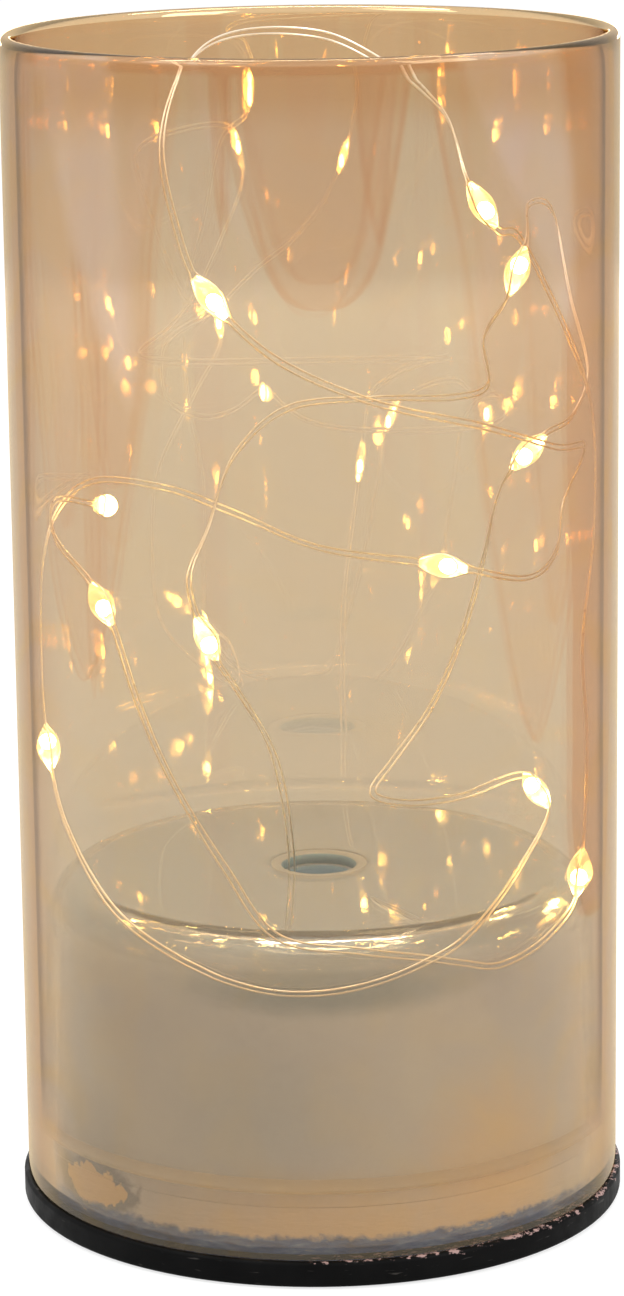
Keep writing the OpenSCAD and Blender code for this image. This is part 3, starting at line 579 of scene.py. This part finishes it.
def pearl():
    """The dome's lining: pearl outside, blue-grey inside with a faint painted glow."""
    inside_dome = (0, 0, 20 * MM)
    p = Paint("pearl_lining")
    outside = p.node("BsdfPrincipled", Base_Color=pearl_colour(p), Roughness=0.42, Metallic=0.15,
                     Sheen_Weight=0.1, Normal=p.bump(p.noise(900, 2), 0.12, 0.00006))
    # Its back glows faintly blue-grey: painted light that stands for the little light the thin
    # paint lets through
    outwards = p.node("VectorMath", {"operation": "SUBTRACT"}, i0=p.place(),
                      i1=inside_dome).outputs[0]
    facing = p.node("VectorMath", {"operation": "DOT_PRODUCT"},
                    i0=p.node("NewGeometry").outputs["Normal"], i1=outwards).outputs["Value"]
    back = p.ramp(p.noise(120, 3), (0.3, (0.20, 0.36, 0.50)), (0.7, (0.26, 0.44, 0.58)))
    inside = p.node("BsdfPrincipled", Base_Color=(0.08, 0.14, 0.16), Roughness=0.6,
                    Emission_Color=back, Emission_Strength=0.35)
    return p.done(p.mix(p.math("LESS_THAN", facing, 0), outside.outputs[0], inside.outputs[0]))


def plastic(name, low, high, rough=0.45, grain=1500):
    """Moulded plastic between two close colours, with a fine grain in colour, gloss and bump."""
    p = Paint(name)
    colour = p.ramp(p.noise(grain / 12, 3), (0.35, low), (0.65, high))
    shine = p.ramp(p.noise(grain / 4, 2), (0.3, rough - 0.08), (0.7, rough + 0.08))
    body = p.node("BsdfPrincipled", Base_Color=colour, Roughness=shine, Specular_IOR_Level=0.1,
                  Normal=p.bump(p.noise(grain, 2), 0.25, 0.00005))
    return p.done(body.outputs[0])


def metal(name, low, high, rough=0.25, grain=700):
    """Metal between two close colours, with a fine grain in colour, gloss and bump."""
    p = Paint(name)
    colour = p.ramp(p.noise(grain / 5, 3), (0.35, low), (0.65, high))
    shine = p.ramp(p.noise(grain, 2), (0.3, max(rough - 0.08, 0.02)), (0.7, rough + 0.08))
    body = p.node("BsdfPrincipled", Base_Color=colour, Metallic=1.0, Roughness=shine,
                  Normal=p.bump(p.noise(grain, 2), 0.1, 0.00003))
    return p.done(body.outputs[0])


def resin():
    """Clear resin of the beads, glowing weakly yellow: painted light for the chip's light scattered
    in it.
    """
    p = Paint("bead_resin")
    tint = p.ramp(p.noise(500, 2), (0.3, (1.0, 0.86, 0.50)), (0.7, (1.0, 0.90, 0.60)))
    # Painted light: the emission stands for the chip's light scattered in the resin
    body = p.node("BsdfPrincipled", Base_Color=tint, Roughness=0.12, IOR=1.5,
                  Transmission_Weight=1.0, Emission_Color=(1.0, 0.82, 0.36),
                  Emission_Strength=0.6, Normal=p.bump(p.noise(700, 2), 0.2, 0.0001))
    path = p.node("LightPath")
    clear = p.node("BsdfTransparent", Color=(1.0, 0.92, 0.7))
    return p.done(p.mix(path.outputs["Is Shadow Ray"], body.outputs[0], clear.outputs[0]))


def glow():
    """The glowing chips in the beads."""
    p = Paint("light_chip")
    colour = p.ramp(p.noise(900, 1), (0.3, (1.0, 0.86, 0.40)), (0.7, (1.0, 0.91, 0.50)))
    body = p.node("BsdfPrincipled", Base_Color=(0.9, 0.75, 0.4), Roughness=0.5,
                  Emission_Color=colour, Emission_Strength=50.0)
    return p.done(body.outputs[0])


def chipped_black():
    """The base's black, with faint scratches and pale chips of dried glue at the top right."""
    # Millimetres: from where up, and from where to the right, the chips start and are full
    edge_from, edge_full = 2.0, 3.1
    right_from, right_full = -14, 4
    p = Paint("black_plastic")
    x, _, z = p.parts()
    colour = p.ramp(p.noise(150, 3), (0.35, (0.002, 0.002, 0.002)), (0.65, (0.004, 0.004, 0.004)))
    scratch = p.ramp(p.noise(420, 2, 0.5, p.scaled(1, 1, 7)), (0.68, 0.0), (0.76, 0.6))
    colour = p.blend(scratch, colour, (0.07, 0.065, 0.06))
    edge = p.span(z, edge_from * MM, edge_full * MM, stop=0.24)
    right_half = p.span(x, right_from * MM, right_full * MM)
    chip = p.math("MULTIPLY_ADD", edge, right_half, p.noise(620, 4, 0.7, p.scaled(1, 1, 2)))
    colour = p.blend(p.span(chip, 0.76, 0.8), colour, srgb(170, 142, 138))
    shine = p.ramp(p.noise(450, 2), (0.3, 0.42), (0.7, 0.58))
    body = p.node("BsdfPrincipled", Base_Color=colour, Roughness=shine, Specular_IOR_Level=0.06,
                  Normal=p.bump(p.noise(1800, 2), 0.25, 0.00005))
    return p.done(body.outputs[0])


def ragged_adhesive():
    """Blue-grey glue in a ragged band at the foot, with the pearl paint over the rest of it."""
    # Millimetres: the height at which the paint starts and is full, and how uneven that height is
    paint_from, paint_full = 4.9, 5.6
    ragged_by = 2.6
    p = Paint("adhesive")
    z = p.parts()[2]
    streaks = p.noise(260, 4, 0.65, p.scaled(1, 1, 4))
    glue = p.ramp(streaks, (0.3, srgb(32, 56, 112)), (0.5, srgb(64, 98, 166)),
                  (0.62, srgb(108, 134, 182)), (0.7, srgb(196, 172, 164)))
    uneven = p.math("SUBTRACT", p.noise(380, 4, 0.7), 0.5)
    ragged = p.math("MULTIPLY_ADD", uneven, ragged_by, p.math("MULTIPLY", z, 1 / MM))
    colour = p.blend(p.span(ragged, paint_from, paint_full), glue, pearl_colour(p))
    body = p.node("BsdfPrincipled", Base_Color=colour, Roughness=0.5,
                  Normal=p.bump(streaks, 0.4, 0.0003))
    return p.done(body.outputs[0])


def floor_paint():
    """Floor that keeps the object's shadow, lifted to white for the camera, mirrors and glass."""
    lift, camera_lift = 0.65, 1.1
    p = Paint("floor_paint")
    base = p.node("BsdfDiffuse", Color=(0.35, 0.35, 0.35))
    path = p.node("LightPath")
    seen = p.math("MAXIMUM", p.math("MULTIPLY", path.outputs["Is Camera Ray"], camera_lift),
                  p.math("MAXIMUM", path.outputs["Is Glossy Ray"],
                         path.outputs["Is Transmission Ray"]))
    shine = p.node("Emission", Color=(1, 1, 1), Strength=p.math("MULTIPLY", seen, lift))
    both = p.node("AddShader")
    p.tree.links.new(base.outputs[0], both.inputs[0])
    p.tree.links.new(shine.outputs[0], both.inputs[1])
    # Its lower face is clear, so that the light's own underside can be looked at
    under = p.node("NewGeometry").outputs["Backfacing"]
    return p.done(p.mix(under, both.outputs[0], p.node("BsdfTransparent").outputs[0]))


def fit(obj, material, slot, *replaced):
    """Gives a new piece its material and the body that it rides on, and hides the nodes that it
    replaces.
    """
    obj.data.materials.append(material)
    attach(obj, "light_body")
    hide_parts(*replaced)
    return obj


def dress(material, *names):
    """Puts a material on carried-over CAD nodes."""
    for name in names:
        for place in NODES[name].material_slots:
            place.material = material


# The light string and its beads
centreline = smooth(route())
along = tangents(centreline)
across = sides(centreline, along)


def light_string():
    """Two round strands, nearer or wider apart on the way, one along each side of a bead."""
    bm = bmesh.new()
    for way in (-1, 1):
        line = []
        for i, (p, s) in enumerate(zip(centreline, across)):
            near = min((p - Vector(b)).length for b in BEADS) / (BEAD_L / 2)
            wander = noise.noise(Vector((i * WANDER_STEP, 3.1, 0.4)))
            gap = STRAND_PITCH / 2 * (1 + STRAND_WANDER * wander)
            if near < 1:
                gap = bead_round(near, BEAD_END_W) - STRAND_SINK
            line.append(p + way * gap * s)
        tube(bm, line, tangents(line), STRAND_R)
    return finish_mesh("light_string", bm)


def spindle(name, k, steps=20, count=32):
    """A drop of resin on the wire, blunt in the strands' plane and pointed across it."""
    t = bead_axis(k)
    centre = Vector(BEADS[k])
    u = across[min(range(len(centreline)), key=lambda i: (centreline[i] - centre).length)]
    u = (u - u.dot(t) * t).normalized()
    v = t.cross(u)
    bm = bmesh.new()
    rings = []
    for i in range(steps + 1):
        share = -math.cos(math.pi * i / steps)
        wide, thick = bead_round(share, BEAD_END_W), bead_round(share, BEAD_END_T)
        at = centre + BEAD_L / 2 * share * t
        rings.append([bm.verts.new((at + wide * math.cos(b) * u + thick * math.sin(b) * v) * MM)
                      for b in (2 * math.pi * j / count for j in range(count))])
    skin(bm, rings)
    return finish_mesh(name, bm, 40)


def light_cores(steps=10, count=16):
    """The glowing chips, one in each bead: long balls, made ring by ring in the same order."""
    bm = bmesh.new()
    size = Matrix.Diagonal((CHIP_R * MM, CHIP_R * MM, CHIP_HALF_L * MM, 1))
    for k, centre in enumerate(BEADS):
        t = bead_axis(k)
        turn = t.to_track_quat("Z", "Y").to_matrix().to_4x4()
        at = Vector(centre) + (CHIP_AHEAD if k % 3 else CHIP_BEHIND) * t
        chip = Matrix.Translation(at * MM) @ turn @ size
        rings = []
        for i in range(steps + 1):
            wide, high = math.sin(math.pi * i / steps), math.cos(math.pi * i / steps)
            corners = count if 0 < i < steps else 1
            angles = [2 * math.pi * j / corners for j in range(corners)]
            ring = [Vector((wide * math.cos(a), wide * math.sin(a), high)) for a in angles]
            rings.append([bm.verts.new(chip @ point) for point in ring])
        skin(bm, rings)
    return finish_mesh("light_cores", bm)


wire_metal = metal("wire_metal", (0.95, 0.78, 0.58), (1.0, 0.88, 0.72), 0.35)
string = fit(light_string(), wire_metal, "wire_metal",
             *[f"wire_stretch_{k + 1:02d}" for k in range(len(STRETCHES))])
bead_resin = resin()
beads = [fit(spindle(f"light_bead_{k + 1:02d}", k), bead_resin, "bead_resin",
             f"led_bead_{k + 1:02d}")
         for k in range(len(BEADS))]
fit(light_cores(), glow(), "light_chip", "light_chips")

# Glass: outer wall and dome in one closed skin
plate_radii = (20, 13, 8)
outer_heights = range(8, 145, 4)
inner_heights = range(142, 12, -4)
glass_outline = (
    [(FOOT_R + HAIR, BASE_TOP), (GLASS_R - FOOT_EDGE, BASE_TOP), (GLASS_R, BASE_TOP + FOOT_EDGE)]
    + [(GLASS_R, z) for z in outer_heights]
    + arc(GLASS_R - WALL / 2, GLASS_TOP - WALL / 2, WALL / 2, 0, 180, 16)
    + [(BORE_R, z) for z in inner_heights] + [(BORE_R, GROOVE_Z)]
    + arc(FLAT_R, SHOULDER_Z, SHOULDER_R, 0, 90, 24)
    + [(r, DOME_TOP) for r in plate_radii]
    + arc(HOLE_R + LIP_R, DOME_TOP - LIP_R, LIP_R, 90, 270)
    + [(r, DOME_TOP - DOME_WALL) for r in plate_radii[::-1]]
    + arc(FLAT_R, SHOULDER_Z, SHOULDER_R - DOME_WALL, 90, 0, 24) + [(FOOT_R + HAIR, GROOVE_Z)])
fit(lathe("glass_shell", glass_outline, 320), lustre_glass(), "lustre_glass", "glass_body")

# Pearl lining on the dome's underside
UNDER = DOME_TOP - DOME_WALL - HAIR
INNER_ROUND = SHOULDER_R - DOME_WALL - HAIR
lining_radii = (20, 13, HOLE_R)
lining_outline = (
    [(FOOT_R - LINING_T, LINING_Z), (FOOT_R - HAIR, LINING_Z), (FOOT_R - HAIR, GROOVE_Z)]
    + arc(FLAT_R, SHOULDER_Z, INNER_ROUND, 0, 90, 24)
    + [(r, UNDER) for r in lining_radii] + [(r, UNDER - LINING_T) for r in lining_radii[::-1]]
    + arc(FLAT_R, SHOULDER_Z, INNER_ROUND - LINING_T, 90, 0, 24)
    + [(FOOT_R - LINING_T, GROOVE_Z)])
fit(lathe("dome_pearl", lining_outline, 256), pearl(), "pearl_lining", "dome_lining")

# Materials of the carried-over nodes
dress(chipped_black(), "base_plate")
dress(plastic("box_plastic", (0.13, 0.20, 0.22), (0.17, 0.25, 0.27), 0.5, 1200),
      "battery_box")
dress(plastic("door_plastic", (0.008, 0.008, 0.009), (0.016, 0.016, 0.018), 0.48),
      "battery_door")
dress(metal("screw_steel", (0.55, 0.55, 0.56), (0.68, 0.68, 0.69), 0.3), "box_screws")
dress(plastic("cell_wrap", (0.05, 0.16, 0.09), (0.07, 0.21, 0.12), 0.3, 900),
      "battery_cell_1", "battery_cell_2", "battery_cell_3")
dress(metal("contact_metal", (0.62, 0.60, 0.55), (0.75, 0.73, 0.68), 0.22),
      "contact_positive_out", "contact_negative_out", "bridge_contact_a", "bridge_contact_b")
dress(plastic("board", (0.010, 0.075, 0.03), (0.018, 0.11, 0.045), 0.35, 1100), "circuit_board")
dress(plastic("chip_plastic", (0.01, 0.01, 0.011), (0.02, 0.02, 0.021), 0.55, 1600),
      "timer_chip")
dress(metal("crystal_metal", (0.70, 0.70, 0.70), (0.80, 0.80, 0.80), 0.18), "crystal")
dress(plastic("resistor", (0.012, 0.012, 0.014), (0.03, 0.03, 0.034), 0.4), "resistors")
dress(plastic("capacitor", (0.33, 0.20, 0.10), (0.42, 0.27, 0.15), 0.4), "capacitor")
dress(metal("switch_metal", (0.58, 0.58, 0.59), (0.70, 0.70, 0.71), 0.3), "switch_housing")
dress(plastic("slider_plastic", (0.62, 0.62, 0.60), (0.74, 0.74, 0.72), 0.4, 1100),
      "switch_slider")
dress(plastic("lead_red", (0.36, 0.02, 0.02), (0.48, 0.035, 0.03), 0.4, 1200),
      "battery_lead_positive")
dress(plastic("lead_black", (0.01, 0.01, 0.01), (0.025, 0.025, 0.025), 0.4, 1200),
      "battery_lead_negative")
dress(plastic("hot_glue", (0.60, 0.55, 0.44), (0.75, 0.70, 0.58), 0.3, 700), "strain_relief")
dress(ragged_adhesive(), "adhesive_ring")


# Floor, world and lamps
def make_floor(half=3, below=0.0002):
    """A square floor, in metres: its half width, and how far it lies below the base."""
    bm = bmesh.new()
    bmesh.ops.create_grid(bm, x_segments=8, y_segments=8, size=half)
    floor = finish_mesh("floor", bm)
    floor.location.z = -below
    floor.data.materials.append(floor_paint())


def make_world(lighting=0.85, seen_as=1.0):
    """Plain light from all round, and white to the camera, in mirrors and through glass."""
    world = bpy.data.worlds.new("world")
    scene.world = world
    world.use_nodes = True
    tree = world.node_tree
    tree.nodes.clear()
    path = tree.nodes.new("ShaderNodeLightPath")
    seen = path.outputs["Is Camera Ray"]
    for ray in ("Is Glossy Ray", "Is Transmission Ray"):
        either = tree.nodes.new("ShaderNodeMath")
        either.operation = "MAXIMUM"
        tree.links.new(seen, either.inputs[0])
        tree.links.new(path.outputs[ray], either.inputs[1])
        seen = either.outputs[0]
    span = tree.nodes.new("ShaderNodeMapRange")
    span.inputs["To Min"].default_value = lighting
    span.inputs["To Max"].default_value = seen_as
    sky = tree.nodes.new("ShaderNodeBackground")
    sky.inputs["Color"].default_value = (1, 1, 1, 1)
    end = tree.nodes.new("ShaderNodeOutputWorld")
    tree.links.new(seen, span.inputs["Value"])
    tree.links.new(span.outputs[0], sky.inputs["Strength"])
    tree.links.new(sky.outputs[0], end.inputs["Surface"])


def lamp(name, place, aim, size, power):
    """A white area lamp that shows in mirrors, but not to the camera or through glass."""
    data = bpy.data.lights.new(name, "AREA")
    data.shape = "RECTANGLE"
    data.size, data.size_y = size
    data.energy = power
    made = keep(bpy.data.objects.new(name, data))
    made.location = place
    made.rotation_euler = (Vector(aim) - Vector(place)).to_track_quat("-Z", "Y").to_euler()
    made.visible_camera = made.visible_transmission = False


make_floor()
make_world()
lamp("key_softbox", (-0.55, -0.45, 0.75), (0, 0, 0.06), (0.5, 0.5), 2.0)
lamp("fill_softbox", (0.6, -0.5, 0.5), (0, 0, 0.06), (0.4, 0.6), 3.0)
lamp("back_strip", (0, 0.8, 0.13), (0, 0, 0.05), (0.7, 0.08), 1.2)
lamp("top_strip", (-0.05, 0.12, 0.9), (0, 0, 0.05), (1.1, 0.06), 4.0)
